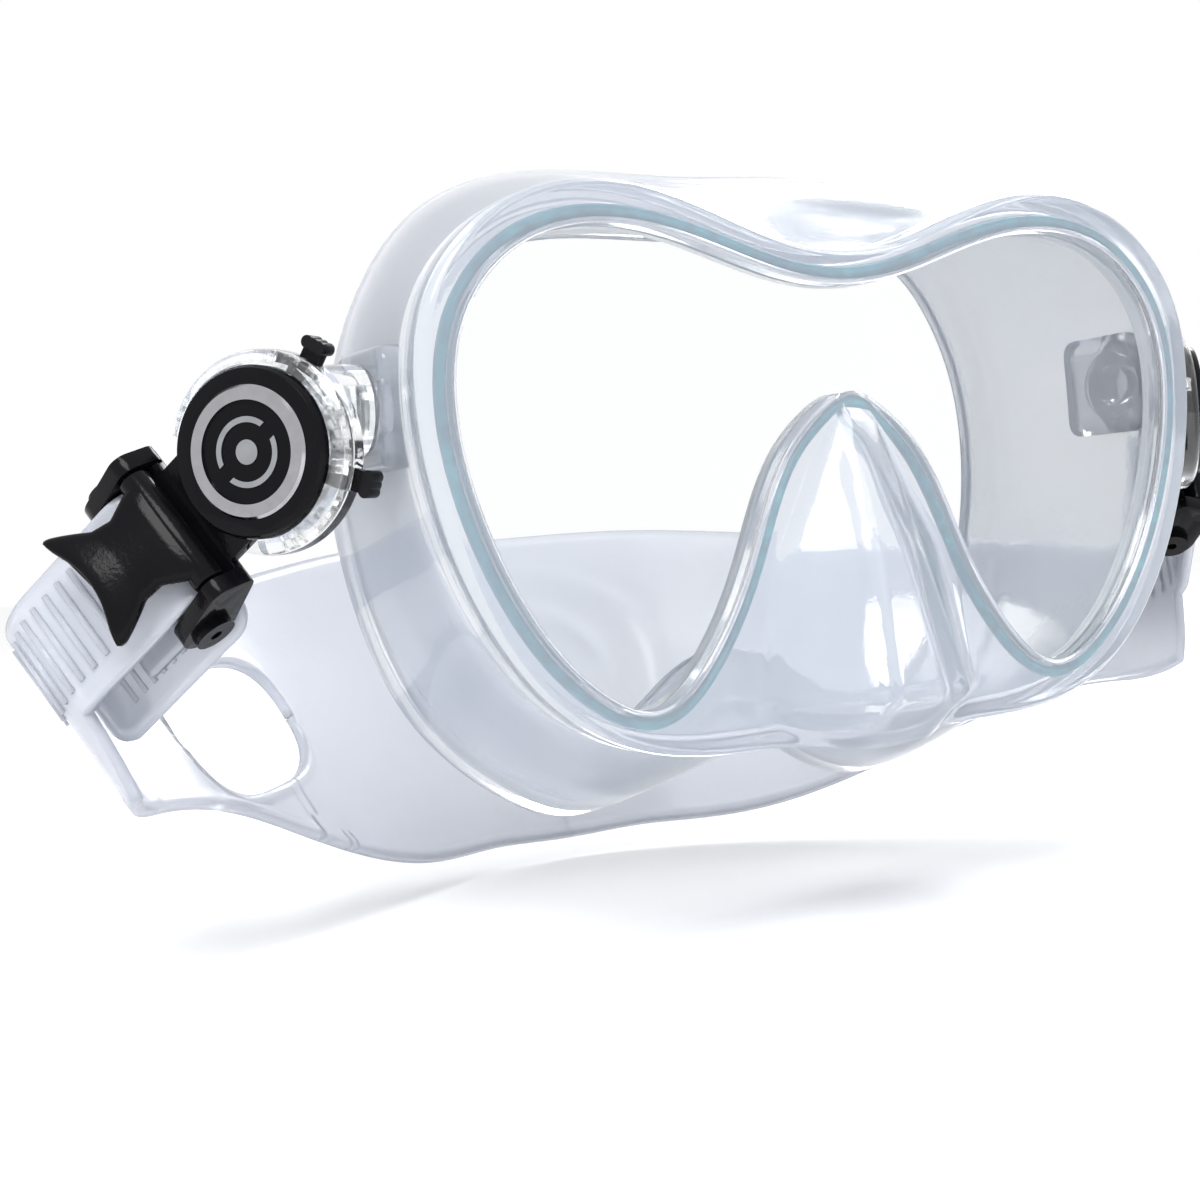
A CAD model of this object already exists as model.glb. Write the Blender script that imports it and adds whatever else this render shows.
"""Looks of a frameless single-lens diving mask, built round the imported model.

Sizes are written in millimetres and made metres by MM when a mesh is built. The lights, the
camera and the scales of the materials are in metres.
"""
import bmesh
import bpy
import math
import numpy as np
from mathutils import Matrix, Vector


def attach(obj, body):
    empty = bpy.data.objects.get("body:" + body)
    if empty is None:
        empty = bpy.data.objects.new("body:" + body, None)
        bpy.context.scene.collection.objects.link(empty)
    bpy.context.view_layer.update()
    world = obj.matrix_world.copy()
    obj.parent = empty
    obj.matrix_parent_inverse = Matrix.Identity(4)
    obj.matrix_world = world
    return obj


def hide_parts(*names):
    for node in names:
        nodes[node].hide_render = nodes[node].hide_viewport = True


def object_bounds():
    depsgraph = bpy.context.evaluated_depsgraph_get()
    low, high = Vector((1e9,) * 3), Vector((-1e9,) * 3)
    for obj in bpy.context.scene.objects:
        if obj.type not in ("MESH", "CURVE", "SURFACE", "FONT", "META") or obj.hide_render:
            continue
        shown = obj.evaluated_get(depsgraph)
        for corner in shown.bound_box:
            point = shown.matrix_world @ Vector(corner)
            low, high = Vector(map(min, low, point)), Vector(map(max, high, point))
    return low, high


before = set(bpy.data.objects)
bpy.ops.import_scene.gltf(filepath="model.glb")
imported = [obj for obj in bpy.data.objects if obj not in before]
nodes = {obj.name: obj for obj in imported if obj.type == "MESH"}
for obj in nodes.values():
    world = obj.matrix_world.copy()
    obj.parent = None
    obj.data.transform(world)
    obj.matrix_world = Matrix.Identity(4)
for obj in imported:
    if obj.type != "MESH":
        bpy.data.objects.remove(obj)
cad_low, cad_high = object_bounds()
MM = 0.001

# --- Silicone skirt ---------------------------------------------------------------------
# One liquid-moulded shell of clear silicone: a lip grips the glass, a wall runs back to the
# face, and a flange turns in to seal. The nose pocket is a tent on the front of it.
SKIRT_DEPTH = 50
LENS_HALF = [(0, 11), (7, 8), (14.5, 0.5), (22.5, -16), (30, -29), (42.5, -38.5), (53, -33.5),
             (63, -21.5), (70, -6), (73, 10), (70.5, 24), (61, 34.5), (45, 38.5), (28, 35.5),
             (12, 30.5), (0, 29)]
FRONT_HALF = [(0, -49), (15, -47.5), (30, -47), (44, -45), (58, -38), (69, -25), (77, -6),
              (79.5, 11), (77, 27), (65, 40.5), (46, 45.5), (28, 42), (12, 36.5), (0, 35)]
REAR_HALF = [(0, -46), (8, -50), (20, -58), (34, -61), (50, -54), (64, -40), (72, -22),
             (75.5, 0), (74, 18), (67, 36), (56, 49), (40, 56), (20, 57.5), (0, 57)]
# nose pocket by height: half width and depth where it meets the lip, then of its front face
NOSE_OUTSIDE = [(12, 2, 0, 0.5, -0.5), (7, 6, 2, 2, -3), (-16, 19.5, 2, 4.5, -10),
                (-40, 24, 2, 7.5, -16), (-50, 20, 8, 7, -3)]
NOSE_INSIDE = [(9, 1, 9, 0.2, 5), (3, 5, 9, 0.9, -0.5), (-16, 16, 9, 3, -7.6), (-40, 21.5, 9, 5.5, -13.4),
               (-47.5, 17.5, 9, 5, -1)]
AROUND = 360


def closed_spline(points):
    """Dense points of the smooth closed curve through the points, and the index of each one."""
    p = np.array(points, float)
    n = len(p)
    h = np.linalg.norm(np.roll(p, -1, axis=0) - p, axis=1)
    system = np.zeros((n, n))
    slope = (np.roll(p, -1, axis=0) - p) / h[:, None]
    for i in range(n):
        system[i, i - 1] += h[i - 1]
        system[i, i] += 2 * (h[i - 1] + h[i])
        system[i, (i + 1) % n] += h[i]
    bend = np.linalg.solve(system, 6 * (slope - np.roll(slope, 1, axis=0)))
    curve = []
    for i in range(n):
        j = (i + 1) % n
        for t in np.linspace(0, h[i], 40, endpoint=False):
            curve.append(bend[i] * (h[i] - t) ** 3 / (6 * h[i]) + bend[j] * t ** 3 / (6 * h[i])
                         + (p[i] / h[i] - bend[i] * h[i] / 6) * (h[i] - t)
                         + (p[j] / h[i] - bend[j] * h[i] / 6) * t)
    return np.array(curve)


def outline_loop(half, anchors, shares):
    """AROUND points of an outline; its numbered points fall at the given shares of the way round."""
    around = half + [(-x, z) for x, z in half[-2:0:-1]]
    curve = closed_spline(around)
    half_curve = curve[: 40 * (len(half) - 1) + 1]
    run = np.r_[0, np.cumsum(np.linalg.norm(np.diff(half_curve, axis=0), axis=1))]
    marks = [run[40 * a] for a in anchors]
    wanted = np.interp(np.linspace(0, 1, AROUND // 2 + 1), shares, marks)
    right = np.stack([np.interp(wanted, run, half_curve[:, k]) for k in (0, 1)], axis=1)
    left = right[-2:0:-1] * [-1, 1]
    return np.vstack([right, left])


def grown(loop, amount):
    """The loop moved outwards by an amount, along its own normal."""
    along = np.roll(loop, -1, axis=0) - np.roll(loop, 1, axis=0)
    along /= np.linalg.norm(along, axis=1)[:, None]
    return loop + amount * np.stack([along[:, 1], -along[:, 0]], axis=1)


def at_depth(loop, depth):
    """Points of a flat loop at a depth, or at one depth for each point, behind the glass front."""
    depth = np.broadcast_to(depth, len(loop))
    return np.stack([loop[:, 0], depth - SKIRT_DEPTH, loop[:, 1]], axis=1)


def soft_min(a, b, width):
    """Smaller of two depths, rounded where they cross."""
    mix = np.clip(0.5 + 0.5 * (b - a) / width, 0, 1)
    return b + (a - b) * mix - width * mix * (1 - mix)


def with_nose(loop, base, sections, width=1.6, ridge=0.0):
    """Depths of a loop's points: the base, or the nose pocket where that stands further forward."""
    table = np.array(sections[::-1], float)
    side, height = np.abs(loop[:, 0]), loop[:, 1]
    rim, rim_depth, front, front_depth = (np.interp(height, table[:, 0], table[:, k]) for k in range(1, 5))
    flank = front_depth + (side - front) / (rim - front) * (rim_depth - front_depth)
    tent = -soft_min(-front_depth, -flank, width)
    # the ridge beads fade out at the top and at the foot of the pocket
    fade = np.clip((2 - height) / 6, 0, 1) * np.clip((height + 44) / 3, 0, 1)
    tent = tent - ridge * np.exp(-((side - front - 0.6) / 0.9) ** 2) * fade
    above = np.clip((height - table[-1, 0]) / 3, 0, 1)
    return soft_min(np.broadcast_to(base, len(loop)) * 1.0, tent + above * 20, width)


def grid_mesh(name, rows, close_rows=True, close_points=True):
    """Mesh of quads over equal rows of points, given in millimetres."""
    count, wide = len(rows), len(rows[0])
    verts = np.vstack(rows) * MM
    faces = []
    for i in range(count if close_rows else count - 1):
        a, b = i * wide, (i + 1) % count * wide
        for j in range(wide if close_points else wide - 1):
            k = (j + 1) % wide
            faces.append((a + j, b + j, b + k, a + k))
    mesh = bpy.data.meshes.new(name)
    mesh.from_pydata(verts.tolist(), [], faces)
    mesh.update()
    return mesh


def add_piece(name, mesh, material, body, slot, *replaced):
    """Show a mesh as a piece that rides on a body."""
    mesh.polygons.foreach_set("use_smooth", [True] * len(mesh.polygons))
    obj = bpy.data.objects.new(name, mesh)
    bpy.context.scene.collection.objects.link(obj)
    mesh.materials.clear()
    mesh.materials.append(material)
    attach(obj, body)
    if replaced:
        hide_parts(*replaced)
    return obj


class Shader:
    """One material's node tree."""

    def __init__(self, name):
        self.material = bpy.data.materials.new(name)
        self.material.use_nodes = True
        self.tree = self.material.node_tree
        self.tree.nodes.clear()
        self.output = self.tree.nodes.new("ShaderNodeOutputMaterial")

    def node(self, kind, settings=(), **inputs):
        """New node; settings go on the node first, then values or links into its inputs."""
        made = self.tree.nodes.new("ShaderNode" + kind)
        for key, value in dict(settings).items():
            setattr(made, key, value)
        for key, value in inputs.items():
            numbered = key[0] == "_" and key[1:].isdigit()
            socket = made.inputs[int(key[1:]) if numbered else key.replace("_", " ")]
            if isinstance(value, Socket):
                self.tree.links.new(value.socket, socket)
            else:
                socket.default_value = value
        return Socket(self, made.outputs[0], made)

    def ramp(self, factor, *stops):
        """Colour ramp through (place, colour) stops."""
        made = self.node("ValToRGB", Fac=factor)
        elements = made.made.color_ramp.elements
        while len(elements) < len(stops):
            elements.new(0.5)
        for element, (place, colour) in zip(elements, stops):
            element.position = place
            element.color = (*colour, 1)
        return made

    def place(self, scale=1.0):
        """Object coordinates."""
        point = self.node("TexCoord").of("Object")
        if scale == 1.0:
            return point
        return self.node("VectorMath", {"operation": "SCALE"}, _0=point, Scale=scale)

    def finish(self, surface):
        self.tree.links.new(surface.socket, self.output.inputs["Surface"])
        return self.material


class Socket:
    """An output socket that takes part in sums."""

    def __init__(self, shader, socket, made):
        self.shader, self.socket, self.made = shader, socket, made

    def of(self, name):
        return Socket(self.shader, self.made.outputs[name], self.made)

    def maths(self, operation, a, b):
        return self.shader.node("Math", {"operation": operation}, _0=a, _1=b)

    def __add__(self, other):
        return self.maths("ADD", self, other)

    __radd__ = __add__

    def __mul__(self, other):
        return self.maths("MULTIPLY", self, other)

    __rmul__ = __mul__

    def __sub__(self, other):
        return self.maths("SUBTRACT", self, other)

    def __rsub__(self, other):
        return self.maths("SUBTRACT", other, self)


def clear_silicone(name, tint, body, rough, haze):
    """Clear moulded silicone: transmits light, with faint flow marks and a little milky haze."""
    s = Shader(name)
    flow = s.node("TexNoise", Vector=s.place(), Scale=22.0, Detail=3.0, Roughness=0.5)
    fine = s.node("TexNoise", Vector=s.place(), Scale=900.0, Detail=2.0)
    bump = s.node("Bump", Height=flow * 0.85 + fine * 0.04, Strength=0.12, Distance=0.004)
    colour = s.ramp(flow, (0.3, tuple(0.97 * c for c in tint)), (0.7, tint))
    skin = s.node("BsdfPrincipled", Base_Color=colour, Roughness=flow * 0.06 + (rough - 0.03),
                  IOR=1.41, Normal=bump, Transmission_Weight=1.0, Specular_IOR_Level=0.5)
    cloud = s.ramp(flow, (0.3, tuple(0.97 * c for c in body)), (0.7, body))
    milk = s.node("BsdfPrincipled", Base_Color=cloud, Roughness=0.2, IOR=1.41, Normal=bump)
    return s.finish(s.node("MixShader", Fac=haze, _1=skin, _2=milk))


SHARES = [0, 0.30, 0.58, 0.78, 1]
glass_edge = outline_loop(LENS_HALF, [0, 5, 9, 12, 15], SHARES)
lip_edge = outline_loop(FRONT_HALF, [0, 3, 7, 10, 13], SHARES)
seal_edge = outline_loop(REAR_HALF, [0, 4, 8, 11, 13], SHARES)
rows = []
# front: from the glass across the lip and down the nose to the outer edge
FRONT_ROWS = 44
for i in range(FRONT_ROWS + 1):
    s = i / FRONT_ROWS
    flat = glass_edge + (lip_edge - glass_edge) * s
    width = np.linalg.norm(lip_edge - glass_edge, axis=1)
    from_edge = np.minimum(s * width, (1 - s) * width)
    crown = -0.8 + 1.3 * np.clip(1 - from_edge / 1.6, 0, 1) ** 2
    rows.append(at_depth(flat, with_nose(flat, crown, NOSE_OUTSIDE, ridge=0.8)))
# outer wall, with the lip standing a little proud of it
for depth, back, inset in [(1.4, 0, -0.05), (3.4, 0, 0), (5.6, 0, 0), (7.0, 0.01, 0.15),
                           (8.0, 0.02, 0.9), (9.2, 0.04, 1.35), (12, 0.1, 1.3), (16, 0.2, 1.0),
                           (20, 0.31, 0.7), (25, 0.44, 0.3),
                           (30, 0.57, 0), (35, 0.69, -0.2), (40, 0.81, -0.2), (44, 0.9, 0), (47, 0.97, 0.1),
                           (48.6, 1, 0.1), (49.5, 1, 0.5), (49.9, 1, 1.2)]:
    flat = grown(lip_edge + (seal_edge - lip_edge) * back, -inset)
    rows.append(at_depth(flat, depth))
# face seal flange, a feather edge, and back up its inside
for depth, inset in [(50, 2.4), (49.9, 5), (49.5, 8), (48.8, 11), (48.2, 12.6), (47.9, 13), (47.6, 12.7),
                     (47.5, 10), (47.5, 7), (47.3, 5), (46.6, 3.8), (45, 3.0)]:
    rows.append(at_depth(grown(seal_edge, -inset), depth))
# inside of the wall
INSIDE_WALL = 2.7
for depth, back in [(40, 0.81), (34, 0.67), (28, 0.53), (22, 0.37), (16, 0.22), (12, 0.11), (9.5, 0.05)]:
    rows.append(at_depth(grown(lip_edge + (seal_edge - lip_edge) * back, -INSIDE_WALL), depth))
# back of the lip and inside of the nose pocket
inner_edge = grown(lip_edge, -3.4)
for i in range(FRONT_ROWS + 1):
    s = 1 - i / FRONT_ROWS
    flat = glass_edge + (inner_edge - glass_edge) * s
    rows.append(at_depth(flat, with_nose(flat, 7.0, NOSE_INSIDE)))
# groove that holds the glass
for depth, grow in [(5.2, 0), (4.02, 0), (4.02, 1.03), (-0.03, 1.03), (-0.03, 0)]:
    rows.append(at_depth(grown(glass_edge, grow), depth))
silicone = clear_silicone("clear_silicone", tint=(0.95, 0.965, 0.985), body=(0.62, 0.67, 0.76),
                          rough=0.08, haze=0.32)
skirt_mesh = grid_mesh("skirt_shell", rows)
skirt = add_piece("skirt_shell", skirt_mesh, silicone, "mask", "clear_silicone", "skirt")

# --- Glass and its coloured ring ---------------------------------------------------------
# A flat tempered pane with ground edges, set in the lip. A rigid turquoise ring goes round
# it, moulded into the silicone, and shows through as a coloured line.
s = Shader("tempered_glass")
smear = s.node("TexNoise", Vector=s.place(), Scale=14.0, Detail=4.0)
pane_tint = s.ramp(smear, (0.3, (0.975, 0.99, 0.99)), (0.8, (1, 1, 1)))
glass = s.finish(s.node("BsdfPrincipled", Base_Color=pane_tint, Roughness=smear * 0.02, IOR=1.45,
                        Transmission_Weight=1.0))
s = Shader("turquoise_ring")
cloud = s.node("TexNoise", Vector=s.place(), Scale=70.0, Detail=4.0)
streak = s.node("TexNoise", Vector=s.place(), Scale=300.0, Detail=2.0)
teal = s.ramp(cloud, (0.3, (0.0, 0.20, 0.27)), (0.5, (0.0, 0.30, 0.38)), (0.72, (0.02, 0.45, 0.52)))
paint = s.node("BsdfPrincipled", Base_Color=teal, Roughness=cloud * 0.1 + 0.15, IOR=1.49)
tinted = s.node("BsdfPrincipled", Base_Color=teal, Roughness=0.08, IOR=1.45, Transmission_Weight=1.0)
clearness = s.ramp(streak, (0.35, (0.1, 0.1, 0.1)), (0.65, (0.5, 0.5, 0.5)))
ring_paint = s.finish(s.node("MixShader", Fac=clearness, _1=paint, _2=tinted))
nodes["lens"].data.materials.clear()
nodes["lens"].data.materials.append(glass)
RING_OUT, RING_HALF_WIDE = 2.25, 0.95
RING_DEPTH, RING_HALF_DEEP = 2.3, 1.7
section = []
for turn in np.linspace(0, 2 * math.pi, 12, endpoint=False):
    section.append(at_depth(grown(glass_edge, RING_OUT + RING_HALF_WIDE * math.cos(turn)),
                            RING_DEPTH + RING_HALF_DEEP * math.sin(turn)))
add_piece("glass_ring", grid_mesh("glass_ring", section), ring_paint, "mask", "coloured_ring", "lens_ring")

# --- Buckles ------------------------------------------------------------------------------
# Clear polycarbonate base and cap, a gloss black bracket riveted on, and stainless pins.
def moulded(name, colour, rough, grain=1400.0):
    """Moulded plastic with a fine texture and slightly uneven gloss."""
    s = Shader(name)
    wide = s.node("TexNoise", Vector=s.place(), Scale=120.0, Detail=3.0)
    fine = s.node("TexNoise", Vector=s.place(), Scale=grain, Detail=2.0)
    light = tuple(c * 1.25 + 0.001 for c in colour)
    return s.finish(s.node("BsdfPrincipled", Base_Color=s.ramp(wide, (0.3, colour), (0.8, light)),
                           Roughness=wide * 0.12 + (rough - 0.06), Specular_IOR_Level=0.1,
                           Normal=s.node("Bump", Height=fine, Strength=0.08, Distance=0.0004)))


def clear_plastic(name, tint, rough):
    """Clear hard plastic."""
    s = Shader(name)
    wide = s.node("TexNoise", Vector=s.place(), Scale=90.0, Detail=2.0)
    return s.finish(s.node("BsdfPrincipled", Base_Color=s.ramp(wide, (0.3, tint), (0.8, (1, 1, 1))),
                           Roughness=wide * 0.05 + rough, IOR=1.5, Transmission_Weight=1.0))


def metal(name, colour, rough):
    """Turned steel."""
    s = Shader(name)
    wide = s.node("TexNoise", Vector=s.place(), Scale=500.0, Detail=4.0)
    dull = tuple(0.85 * c for c in colour)
    return s.finish(s.node("BsdfPrincipled", Base_Color=s.ramp(wide, (0.2, dull), (0.8, colour)),
                           Roughness=wide * 0.2 + (rough - 0.1), Metallic=1.0,
                           Normal=s.node("Bump", Height=wide, Strength=0.05, Distance=0.0003)))


finishes = {"buckle_base": clear_plastic("clear_base", (0.94, 0.965, 0.98), 0.03),
            "buckle_cap": clear_plastic("clear_cap", (0.95, 0.97, 0.985), 0.02),
            "pivot_post": clear_plastic("clear_post", (0.92, 0.95, 0.97), 0.05),
            "bracket": moulded("black_bracket", (0.003, 0.003, 0.004), 0.14),
            "release_lever": moulded("black_lever", (0.003, 0.003, 0.004), 0.17),
            "roller": moulded("black_roller", (0.005, 0.005, 0.006), 0.22),
            "upper_pinch_tab": moulded("black_tab", (0.006, 0.006, 0.007), 0.3),
            "badge_disc": moulded("badge_black", (0.003, 0.003, 0.004), 0.12),
            "badge_mark": metal("badge_silver", (0.36, 0.37, 0.39), 0.34),
            "trim_ring": metal("bright_trim", (0.42, 0.42, 0.44), 0.14),
            "bracket_rivet": metal("stainless", (0.66, 0.66, 0.67), 0.3)}
finishes["lower_pinch_tab"] = finishes["upper_pinch_tab"]
for name in ("lever_spring", "upper_tab_spring", "lower_tab_spring"):
    finishes[name] = finishes["bracket_rivet"]
for name in ("roller_pin", "lever_pin"):
    finishes[name] = finishes["bracket"]
for side in ("right", "left"):
    for name, material in finishes.items():
        obj = nodes[f"{side}_{name}"]
        obj.data.materials.clear()
        obj.data.materials.append(material)

# --- Strap --------------------------------------------------------------------------------
# One clear silicone band. It doubles back round each roller, bends round to the back of the
# head, and splits into two bands there. A wide tab on each free end keeps it in the buckle.
SPLAY, DROOP = math.radians(52), math.radians(37)
disc_centre = np.array([-100, 17.75 - SKIRT_DEPTH, 6.3])
disc_out = np.array([-math.sin(SPLAY), -math.cos(SPLAY), 0])
level_way = np.array([-math.cos(SPLAY), math.sin(SPLAY), 0])
strap_way = level_way * math.cos(DROOP) - np.array([0, 0, 1]) * math.sin(DROOP)
across = np.cross(disc_out, strap_way)


def buckle_point(a, b, h):
    """Point in the buckle's own frame: along the strap, across it and out of the disc."""
    return disc_centre + strap_way * a + across * b + disc_out * h


ROLLER_A, ROLLER_H, WRAP_MID = 25.5, -4.5, 4.9
BEND_A, BEND_R = 45, 14
INNER_END = 42
STRAP_T, STRAP_HALF, BAND_LOW = 2.4, 10.6, 26
STATIONS = [((-88, 92, -29), (0.27, -0.47, -0.84), 14, 38), ((-55, 118, -28), (0.15, -0.46, -0.87), 18, 52),
            ((-27, 133, -27), (0.06, -0.46, -0.885), 20, 54), ((0, 138, -27), (0, -0.46, -0.888), 20, 55)]
line = []
for a in np.arange(INNER_END, ROLLER_A, -0.8):
    line.append(buckle_point(a, 0, ROLLER_H - WRAP_MID))
for turn in np.linspace(-90, -270, 40):
    t = math.radians(turn)
    line.append(buckle_point(ROLLER_A + WRAP_MID * math.cos(t), 0, ROLLER_H + WRAP_MID * math.sin(t)))
for a in np.arange(ROLLER_A + 0.8, BEND_A, 0.8):
    line.append(buckle_point(a, 0, ROLLER_H + WRAP_MID))
bend_h = ROLLER_H + WRAP_MID - BEND_R
for turn in np.linspace(90, 0, 40):
    t = math.radians(turn)
    line.append(buckle_point(BEND_A + BEND_R * math.cos(t), 0, bend_h + BEND_R * math.sin(t)))
buckle_count = len(line)
ways = [across] * buckle_count
run = np.r_[0, np.cumsum(np.linalg.norm(np.diff(np.array(line), axis=0), axis=1))]
shoulder = run[buckle_count - 1] - BEND_R * math.radians(68)
ups = [STRAP_HALF] * buckle_count
downs = [STRAP_HALF + (BAND_LOW - STRAP_HALF) * float(np.clip((r - shoulder) / 3.0, 0, 1)) ** 0.5
         for r in run]
keys = [line[-1]] + [np.array([x, d - SKIRT_DEPTH, z]) for (x, d, z), *_ in STATIONS]
key_ways = [across] + [np.array(w) / np.linalg.norm(w) for _, w, *_ in STATIONS]
key_ups = [STRAP_HALF] + [s[2] for s in STATIONS]
key_downs = [BAND_LOW] + [s[3] for s in STATIONS]
key_run = np.r_[0, np.cumsum(np.linalg.norm(np.diff(np.array(keys), axis=0), axis=1))]


def smooth_path(keys, start, end, steps):
    """Points of a smooth curve through the keys, with its directions at both ends given."""
    keys = np.array(keys, float)
    n = len(keys)
    h = np.diff(key_run)
    system = np.zeros((n, n))
    right = np.zeros((n, keys.shape[1]))
    system[0, 0] = system[-1, -1] = 1
    right[0], right[-1] = start, end
    for i in range(1, n - 1):
        system[i, i - 1] = h[i]
        system[i, i] = 2 * (h[i - 1] + h[i])
        system[i, i + 1] = h[i - 1]
        right[i] = 3 * (h[i] * (keys[i] - keys[i - 1]) / h[i - 1] + h[i - 1] * (keys[i + 1] - keys[i]) / h[i])
    slope = np.linalg.solve(system, right)
    made = []
    for r in steps:
        i = min(int(np.searchsorted(key_run, r, side="right")) - 1, n - 2)
        t = (r - key_run[i]) / h[i]
        made.append((1 + 2 * t) * (1 - t) ** 2 * keys[i] + t * (1 - t) ** 2 * h[i] * slope[i]
                    + t * t * (3 - 2 * t) * keys[i + 1] + t * t * (t - 1) * h[i] * slope[i + 1])
    return made


OPEN_MID, OPEN_HALF = key_run[1] - 2, 23.0
ends = np.linspace(0, math.pi, 61)
steps = np.r_[np.arange(1.2, key_run[-1], 1.2), OPEN_MID - OPEN_HALF * np.cos(ends), key_run[-1]]
steps = sorted(set(np.round(steps, 4)))
steps = [r for k, r in enumerate(steps) if k == 0 or r - steps[k - 1] > 0.01]
line += smooth_path(keys, -disc_out, np.array([1.0, 0, 0]), steps)
ways += [w / np.linalg.norm(w) for w in smooth_path(key_ways, np.zeros(3), np.zeros(3), steps)]
ups += [float(v[0]) for v in smooth_path([[u] for u in key_ups], [0.0], [0.0], steps)]
downs += [float(v[0]) for v in smooth_path([[u] for u in key_downs], [0.0], [0.0], steps)]
opening = [None] * buckle_count
for r in steps:
    x = (r - OPEN_MID) / OPEN_HALF
    if abs(x) >= 1:
        opening.append((14.5, 14.5))
    else:
        tall = (1 - abs(x) ** 3.4) ** (1 / 2.6)
        opening.append((14.5 - (13.6 + 1.5 * x) * tall, 14.5 + (13.4 - 1.5 * x) * tall))
line, ways = np.array(line), np.array(ways)
heading = np.gradient(line, axis=0)
heading /= np.linalg.norm(heading, axis=1)[:, None]
ways -= heading * (ways * heading).sum(1)[:, None]
ways /= np.linalg.norm(ways, axis=1)[:, None]
facing = np.cross(ways, heading)

# half a strap as a sheet of quads; the mirrored half is joined on the middle line
UPPER, LOWER = 14, 14
verts, faces, thick = [], [], []
for k in range(len(line)):
    mid = opening[k] or (0.0, 0.0)
    reach_up, reach_down = -ups[k], downs[k]
    cross = [reach_up + (mid[0] - reach_up) * j / UPPER for j in range(UPPER + 1)]
    cross += [mid[1] + (reach_down - mid[1]) * j / LOWER for j in range(LOWER + 1)]
    for v in cross:
        verts.append(line[k] + ways[k] * v)
        edge = min(v - reach_up, reach_down - v)
        if opening[k] and mid[1] > mid[0] + 0.01:
            edge = min(edge, abs(v - mid[0]), abs(v - mid[1]))
        if k > buckle_count - 20:
            rim = math.exp(-((edge - 1.2) / 0.9) ** 2)
        else:
            rim = 0.4 * math.exp(-((edge - 0.9) / 0.6) ** 2)
        from_middle = key_run[-1] - (steps[k - buckle_count] if k >= buckle_count else -30)
        arcs = 0
        for size in (1, 0.62):
            oval = math.hypot(from_middle / (36 * size), (v - 17) / (28 * size))
            arcs += math.exp(-((oval - 1) * 26 * size / 1.3) ** 2)
        thick.append(0.8 * STRAP_T / 2 + 0.4 * rim + 0.3 * arcs)
wide = UPPER + LOWER + 2
for k in range(len(line) - 1):
    a, b = k * wide, (k + 1) * wide
    for j in range(wide - 1):
        if j == UPPER:
            continue
        faces.append((a + j, a + j + 1, b + j + 1, b + j))
count = len(verts)
verts = np.array(verts)
facing_all = np.repeat(facing, wide, axis=0)
thick = np.array(thick)[:, None]


def sheet_solid(name, verts, faces, normals, thick, weld=0.02):
    """Solid from a sheet of quads: both skins and a wall round every free edge."""
    bm = bmesh.new()
    layer = bm.verts.layers.float_vector.new("out")
    half = bm.verts.layers.float.new("half")
    points = [bm.verts.new(p) for p in verts]
    for face in faces:
        bm.faces.new([points[i] for i in face])
    for v, n, t in zip(points, normals, thick):
        v[layer] = n
        v[half] = float(t[0])
    bmesh.ops.remove_doubles(bm, verts=bm.verts, dist=weld)
    bmesh.ops.dissolve_degenerate(bm, edges=bm.edges, dist=weld)
    bm.verts.ensure_lookup_table()
    bm.faces.ensure_lookup_table()
    bm.verts.index_update()
    outer = [v.co + Vector(v[layer]) * v[half] for v in bm.verts]
    inner = [v.co - Vector(v[layer]) * v[half] for v in bm.verts]
    skin = [[v.index for v in f.verts] for f in bm.faces]
    solid = bmesh.new()
    top = [solid.verts.new(p * MM) for p in outer]
    low = [solid.verts.new(p * MM) for p in inner]
    for f in skin:
        solid.faces.new([top[i] for i in f])
        solid.faces.new([low[i] for i in reversed(f)])
    for edge in bm.edges:
        if len(edge.link_faces) == 1:
            a, b = (v.index for v in edge.verts)
            solid.faces.new([top[a], low[a], low[b], top[b]])
    bmesh.ops.recalc_face_normals(solid, faces=solid.faces)
    mesh = bpy.data.meshes.new(name)
    solid.to_mesh(mesh)
    solid.free()
    bm.free()
    return mesh


both_verts = np.vstack([verts, verts * [-1, 1, 1]])
both_normals = np.vstack([facing_all, facing_all * [-1, 1, 1]])
both_faces = faces + [tuple(count + i for i in reversed(f)) for f in faces]
strap_clear = clear_silicone("clear_strap", tint=(0.95, 0.965, 0.985), body=(0.64, 0.67, 0.75),
                             rough=0.16, haze=0.62)
strap_mesh = sheet_solid("strap_band", both_verts, both_faces, both_normals, np.vstack([thick, thick]))
strap = add_piece("strap_band", strap_mesh, strap_clear, "harness", "clear_strap", "strap")

# --- Tail tabs ----------------------------------------------------------------------------
# The free end of the band is a wide tab with a rolled rim, moulded with it, that stops the
# strap from slipping out of the buckle.
def capped(name, rows):
    """Closed mesh from rows, with a flat cap on each end."""
    mesh = grid_mesh(name, rows, close_rows=False)
    wide = len(rows[0])
    bm = bmesh.new()
    bm.from_mesh(mesh)
    bm.verts.ensure_lookup_table()
    bm.faces.new([bm.verts[i] for i in range(wide)])
    bm.faces.new([bm.verts[len(rows) * wide - wide + i] for i in range(wide)])
    bmesh.ops.recalc_face_normals(bm, faces=bm.faces)
    bm.to_mesh(mesh)
    bm.free()
    return mesh


def plate_mesh(name, place, half_a, half_b, radius, profile, mirrored):
    """Rounded plate from (inset, height) steps, placed by a function of three lengths."""
    rows = []
    for inset, height in profile:
        corner = max(radius - inset, 0.4)
        row = []
        for ca, cb, start in ((1, 1, 0), (-1, 1, 90), (-1, -1, 180), (1, -1, 270)):
            for turn in np.linspace(start, start + 90, 12):
                t = math.radians(turn)
                row.append(place(ca * (half_a - inset - corner) + corner * math.cos(t),
                                 cb * (half_b - inset - corner) + corner * math.sin(t), height))
        rows.append(np.array(row) * ([-1, 1, 1] if mirrored else [1, 1, 1]))
    return capped(name, rows)


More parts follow.
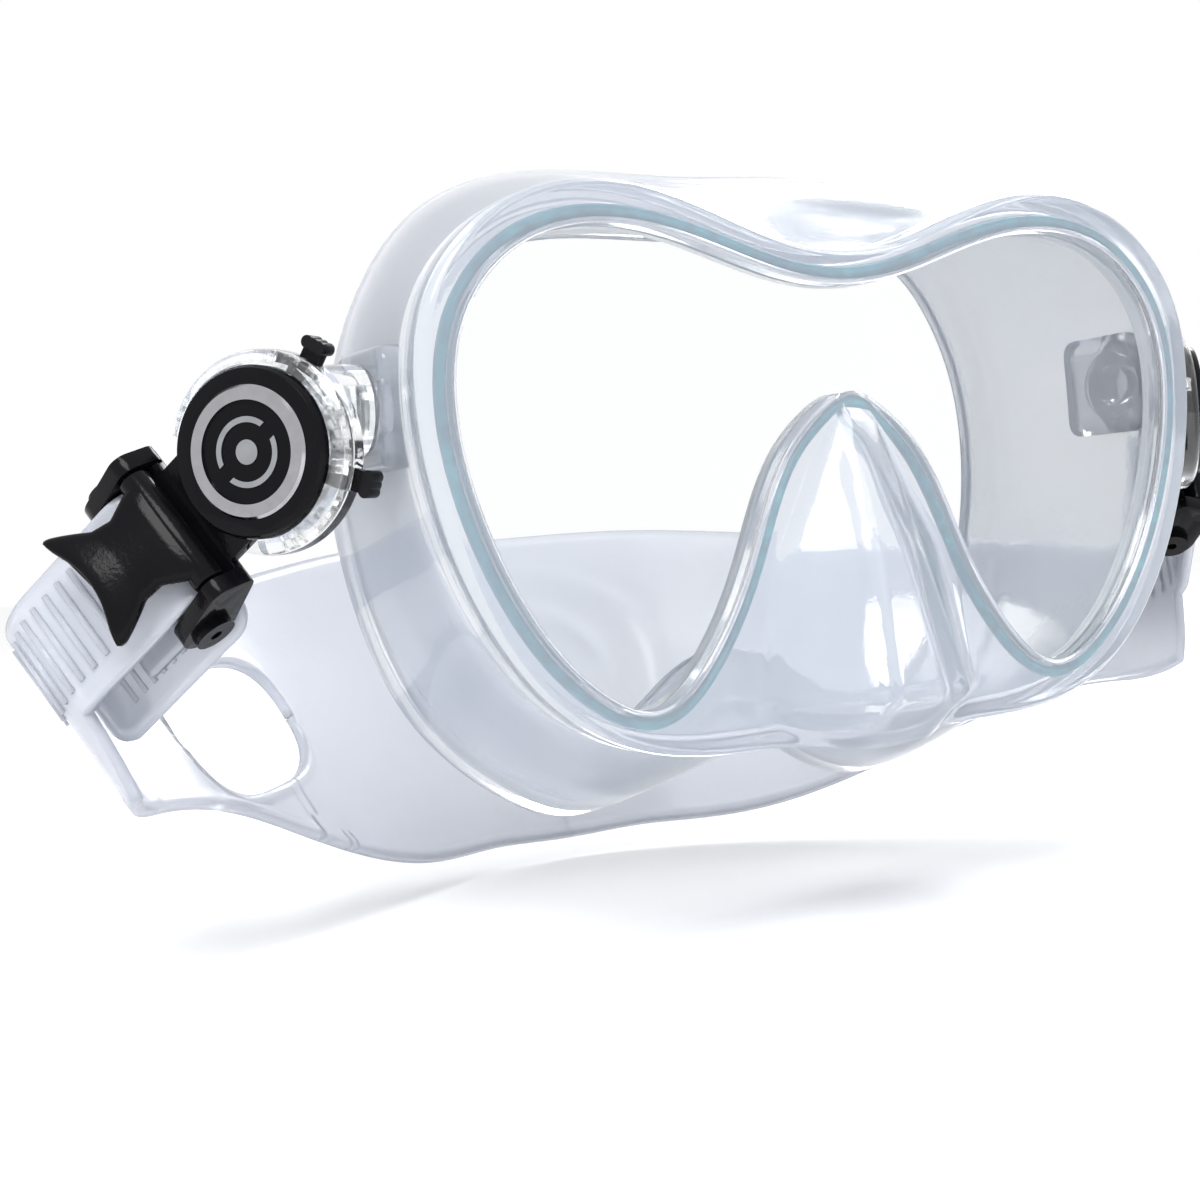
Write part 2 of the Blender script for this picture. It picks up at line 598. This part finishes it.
TAB_MID, TAB_HALF_A, TAB_HALF_B, TAB_CORNER = 39, 17, 15.5, 4.5
TAB_PROFILE = [(8, -12.4), (3.4, -12.4), (2.2, -12.75), (1.2, -12.8), (0.4, -12.5), (0, -11.8),
               (0, -11.2), (0.4, -10.6), (1.2, -10.4), (2.2, -10.5), (3.4, -10.8), (8, -10.8)]
for side in ("right", "left"):
    mesh = plate_mesh(f"{side}_tail_tab", lambda a, b, h: buckle_point(TAB_MID + a, b, h), TAB_HALF_A,
                      TAB_HALF_B, TAB_CORNER, TAB_PROFILE, side == "left")
    add_piece(f"{side}_tail_tab", mesh, strap_clear, "harness", "clear_strap")

# --- Grip ribs ----------------------------------------------------------------------------
# Ladder ribs moulded across the strap's outer layer and across each tail tab. The roller
# bites on them, so the strap holds where it is set.
def rib_tree(material):
    """Rounded bars set square across a path, one at each step."""
    tree = bpy.data.node_groups.new("rib_row", "GeometryNodeTree")
    tree.is_modifier = True
    sockets = {}
    for name, kind in (("Path", "NodeSocketGeometry"), ("Count", "NodeSocketInt"),
                       ("Length", "NodeSocketFloat"), ("Radius", "NodeSocketFloat"),
                       ("Across", "NodeSocketVector")):
        sockets[name] = tree.interface.new_socket(name, in_out="INPUT", socket_type=kind).identifier
    tree.interface.new_socket("Ribs", in_out="OUTPUT", socket_type="NodeSocketGeometry")
    given = tree.nodes.new("NodeGroupInput")
    result = tree.nodes.new("NodeGroupOutput")
    chain = {}
    for name, kind in (("curve", "GeometryNodeMeshToCurve"), ("resample", "GeometryNodeResampleCurve"),
                       ("bar", "GeometryNodeMeshCylinder"), ("align", "FunctionNodeAlignRotationToVector"),
                       ("place", "GeometryNodeInstanceOnPoints"), ("real", "GeometryNodeRealizeInstances"),
                       ("paint", "GeometryNodeSetMaterial")):
        chain[name] = tree.nodes.new(kind)
    chain["align"].axis = "Z"
    chain["bar"].inputs["Vertices"].default_value = 10
    chain["paint"].inputs["Material"].default_value = material
    for source, target in (((given, "Path"), ("curve", "Mesh")),
                           ((chain["curve"], "Curve"), ("resample", "Curve")),
                           ((given, "Count"), ("resample", "Count")),
                           ((given, "Radius"), ("bar", "Radius")),
                           ((given, "Length"), ("bar", "Depth")),
                           ((given, "Across"), ("align", "Vector")),
                           ((chain["resample"], "Curve"), ("place", "Points")),
                           ((chain["bar"], "Mesh"), ("place", "Instance")),
                           ((chain["align"], "Rotation"), ("place", "Rotation")),
                           ((chain["place"], "Instances"), ("real", "Geometry")),
                           ((chain["real"], "Geometry"), ("paint", "Geometry"))):
        tree.links.new(source[0].outputs[source[1]], chain[target[0]].inputs[target[1]])
    tree.links.new(chain["paint"].outputs["Geometry"], result.inputs["Ribs"])
    return tree, sockets


def rib_row(name, path, count, length, radius, way):
    """Ribs along a path of points, made plain mesh."""
    line_mesh = bpy.data.meshes.new(name + "_path")
    line_mesh.from_pydata((np.array(path) * MM).tolist(), [(i, i + 1) for i in range(len(path) - 1)], [])
    obj = bpy.data.objects.new(name + "_path", line_mesh)
    bpy.context.scene.collection.objects.link(obj)
    modifier = obj.modifiers.new("ribs", "NODES")
    modifier.node_group = ribs_group
    for key, value in (("Count", count), ("Length", length * MM), ("Radius", radius * MM),
                       ("Across", tuple(way))):
        modifier[ribs_sockets[key]] = value
    bpy.context.view_layer.update()
    made = bpy.data.meshes.new_from_object(obj.evaluated_get(bpy.context.evaluated_depsgraph_get()))
    bpy.data.objects.remove(obj)
    made.name = name
    return made


ribs_group, ribs_sockets = rib_tree(strap_clear)
RIB_R = BEND_R + 1.15         # just under the strap's outer skin
outer_line = [buckle_point(a, -0.5, 1.55) for a in np.arange(33, BEND_A, 1)]
for turn in np.linspace(90, 14, 30):
    t = math.radians(turn)
    outer_line.append(buckle_point(BEND_A + RIB_R * math.cos(t), -0.5, bend_h + RIB_R * math.sin(t)))
tab_line = [buckle_point(a, 0, -10.75) for a in (28, 48)]
for side, mirror in (("right", np.array([1, 1, 1])), ("left", np.array([-1, 1, 1]))):
    for name, path, count, length, radius in (("strap_ribs", outer_line, 11, 14.5, 0.55),
                                              ("tab_ribs", tab_line, 9, 22, 0.5)):
        mesh = rib_row(f"{side}_{name}", np.array(path) * mirror, count, length, radius, across * mirror)
        add_piece(f"{side}_{name}", mesh, strap_clear, "harness", "clear_strap")

# --- Release levers -----------------------------------------------------------------------
# A saddle-shaped black lever over the strap: a hub on its pin, a waist, and two rounded
# prongs to pull up with a thumb. It pinches the strap on to the roller.
LEVER_A, LEVER_H = 18.0, 0.6
lever_black = finishes["release_lever"]


def lever_rows(mirrored):
    """Closed sections of the lever, from its hub to the two prongs."""
    rows = []
    for u in np.linspace(0, 1, 40):
        along = u * 16.5
        half = np.interp(u, [0, 0.18, 0.42, 0.62, 0.8, 0.92, 1],
                         [9.4, 8.6, 6.6, 7.0, 9.6, 11.2, 10.6])
        mid = LEVER_H + 0.9 + np.interp(u, [0, 0.3, 0.6, 1], [0, 1.9, 3.9, 7.0])
        if u > 0.84:
            half *= math.sqrt(1 - 0.6 * ((u - 0.84) / 0.16) ** 2)
        thick = np.interp(u, [0, 0.1, 0.5, 0.85, 1], [3.2, 3.8, 3.4, 3.4, 3.0]) / 2
        if u > 0.9:
            thick *= math.sqrt(max(1 - ((u - 0.9) / 0.1) ** 2, 0.0)) * 0.9 + 0.1
        row = []
        for turn in np.linspace(0, 2 * math.pi, 48, endpoint=False):
            c, d = math.cos(turn), math.sin(turn)
            b = half * math.copysign(abs(c) ** 0.7, c)
            share = min(abs(b) / 10.5, 1.0)
            reach = LEVER_A - 1.2 + along * (0.80 + 0.24 * share ** 2)
            dish = 0.9 * (share ** 2) * u
            row.append(buckle_point(reach, b, mid + dish + thick * math.copysign(abs(d) ** 0.6, d)))
        rows.append(np.array(row) * ([-1, 1, 1] if mirrored else [1, 1, 1]))
    return rows


HUB_R, HUB_HALF = 2.6, 10.5


def hub_rows(mirrored):
    """Barrel round the lever's pin, with rounded ends."""
    rows = []
    for b, radius in ((-HUB_HALF, HUB_R - 0.5), (-HUB_HALF + 0.15, HUB_R - 0.15), (-HUB_HALF + 0.5, HUB_R),
                      (HUB_HALF - 0.5, HUB_R), (HUB_HALF - 0.15, HUB_R - 0.15), (HUB_HALF, HUB_R - 0.5)):
        row = [buckle_point(LEVER_A + radius * math.cos(t), b, LEVER_H + radius * math.sin(t))
               for t in np.linspace(0, 2 * math.pi, 32, endpoint=False)]
        rows.append(np.array(row) * ([-1, 1, 1] if mirrored else [1, 1, 1]))
    return rows


for side in ("right", "left"):
    barrel = capped(f"{side}_lever_hub", hub_rows(side == "left"))
    add_piece(f"{side}_lever_hub", barrel, lever_black, f"{side}_lever_body", "lever_black")
    mesh = capped(f"{side}_lever", lever_rows(side == "left"))
    add_piece(f"{side}_lever", mesh, lever_black, f"{side}_lever_body", "lever_black",
              f"{side}_release_lever")

# --- Brackets -----------------------------------------------------------------------------
# The moulded bracket and pinch tabs, copied from the plain solids, with their sharp edges
# broken by a small radius.
for side in ("right", "left"):
    for name, width in (("bracket", 0.5), ("upper_pinch_tab", 0.25), ("lower_pinch_tab", 0.25)):
        source = nodes[f"{side}_{name}"]
        mesh = source.data.copy()
        bm = bmesh.new()
        bm.from_mesh(mesh)
        bmesh.ops.remove_doubles(bm, verts=bm.verts, dist=1e-6)
        bmesh.ops.dissolve_limit(bm, angle_limit=math.radians(1), verts=bm.verts, edges=bm.edges)
        bm.to_mesh(mesh)
        bm.free()
        obj = bpy.data.objects.new(f"{side}_{name}_moulding", mesh)
        bpy.context.scene.collection.objects.link(obj)
        bevel = obj.modifiers.new("edges", "BEVEL")
        bevel.width = width * MM
        bevel.segments = 3
        bevel.limit_method = "ANGLE"
        bevel.angle_limit = math.radians(35)
        bpy.context.view_layer.update()
        made = bpy.data.meshes.new_from_object(obj.evaluated_get(bpy.context.evaluated_depsgraph_get()))
        bpy.data.objects.remove(obj)
        body = "harness" if name == "bracket" else f"{side}_{name.split('_')[0]}_tab_body"
        slot = "black_plastic" if name == "bracket" else "tab_black"
        add_piece(f"{side}_{name}_moulding", made, finishes[name], body, slot, f"{side}_{name}")

# --- Lugs ---------------------------------------------------------------------------------
# A thick silicone boss on each side of the skirt, moulded round the head of the pivot post.
SWING_Y, SWING_Z = 19 - SKIRT_DEPTH, 12
LUG_HALF, LUG_CORNER = 9.5, 3
LUG_PROFILE = [(4, 74.5), (0, 74.5), (0, 79.6), (0.3, 80.4), (1.0, 80.9), (1.8, 81), (5.5, 81)]
for side in ("right", "left"):
    mesh = plate_mesh(f"{side}_lug", lambda a, b, h: np.array([-h, SWING_Y + a, SWING_Z + b]), LUG_HALF,
                      LUG_HALF, LUG_CORNER, LUG_PROFILE, side == "left")
    add_piece(f"{side}_lug", mesh, silicone, "mask", "clear_silicone")

# --- Studio -------------------------------------------------------------------------------
# Pale floor just under the strap, white surroundings, two soft lights, and the camera.
floor_mesh = bpy.data.meshes.new("floor")
FLOOR_Z = cad_low[2] - 0.004
floor_mesh.from_pydata([(x, y, FLOOR_Z) for x, y in ((-6, -6), (6, -6), (6, 6), (-6, 6))], [],
                       [(0, 1, 2, 3)])
floor = bpy.data.objects.new("floor", floor_mesh)
bpy.context.scene.collection.objects.link(floor)
s = Shader("pale_floor")
grain = s.node("TexNoise", Vector=s.place(), Scale=3.0, Detail=2.0)
paint = s.ramp(grain, (0.2, (0.93, 0.93, 0.935)), (0.8, (0.95, 0.95, 0.955)))
floor_mesh.materials.append(s.finish(s.node("BsdfPrincipled", Base_Color=paint, Roughness=0.9)))
world = bpy.data.worlds.new("studio")
world.use_nodes = True
world.node_tree.nodes["Background"].inputs["Color"].default_value = (1, 1, 1, 1)
world.node_tree.nodes["Background"].inputs["Strength"].default_value = 1.0
bpy.context.scene.world = world


def soft_light(name, place, aim, size, power):
    """Large square light that points at a place."""
    lamp = bpy.data.lights.new(name, "AREA")
    lamp.size = size
    lamp.energy = power
    obj = bpy.data.objects.new(name, lamp)
    obj.location = place
    obj.rotation_euler = (Vector(aim) - Vector(place)).to_track_quat("-Z", "Y").to_euler()
    bpy.context.scene.collection.objects.link(obj)


soft_light("key_light", (-0.5, -0.7, 0.8), (0, 0, 0), 0.5, 9)
soft_light("rim_light", (0.7, 0.5, 0.6), (0, 0, 0), 0.4, 5)
ROLL, PITCH, HEADING = math.radians(4.3), math.radians(1.8), math.radians(29.35)
turn = Matrix.Rotation(ROLL, 3, "Z") @ Matrix.Rotation(PITCH, 3, "X") @ Matrix.Rotation(HEADING, 3, "Y")
u, v, n = turn.col[0], turn.col[1], turn.col[2]
to_camera = Matrix((u, -n, v)).transposed()
lens_data = bpy.data.cameras.new("camera")
lens_data.lens = 56.25
lens_data.sensor_width = 36
camera = bpy.data.objects.new("camera", lens_data)
camera.matrix_world = Matrix.Translation((-0.194, -0.304, -0.011)) @ to_camera.transposed().to_4x4()
bpy.context.scene.collection.objects.link(camera)
bpy.context.scene.camera = camera
bpy.context.scene.view_settings.view_transform = "Standard"
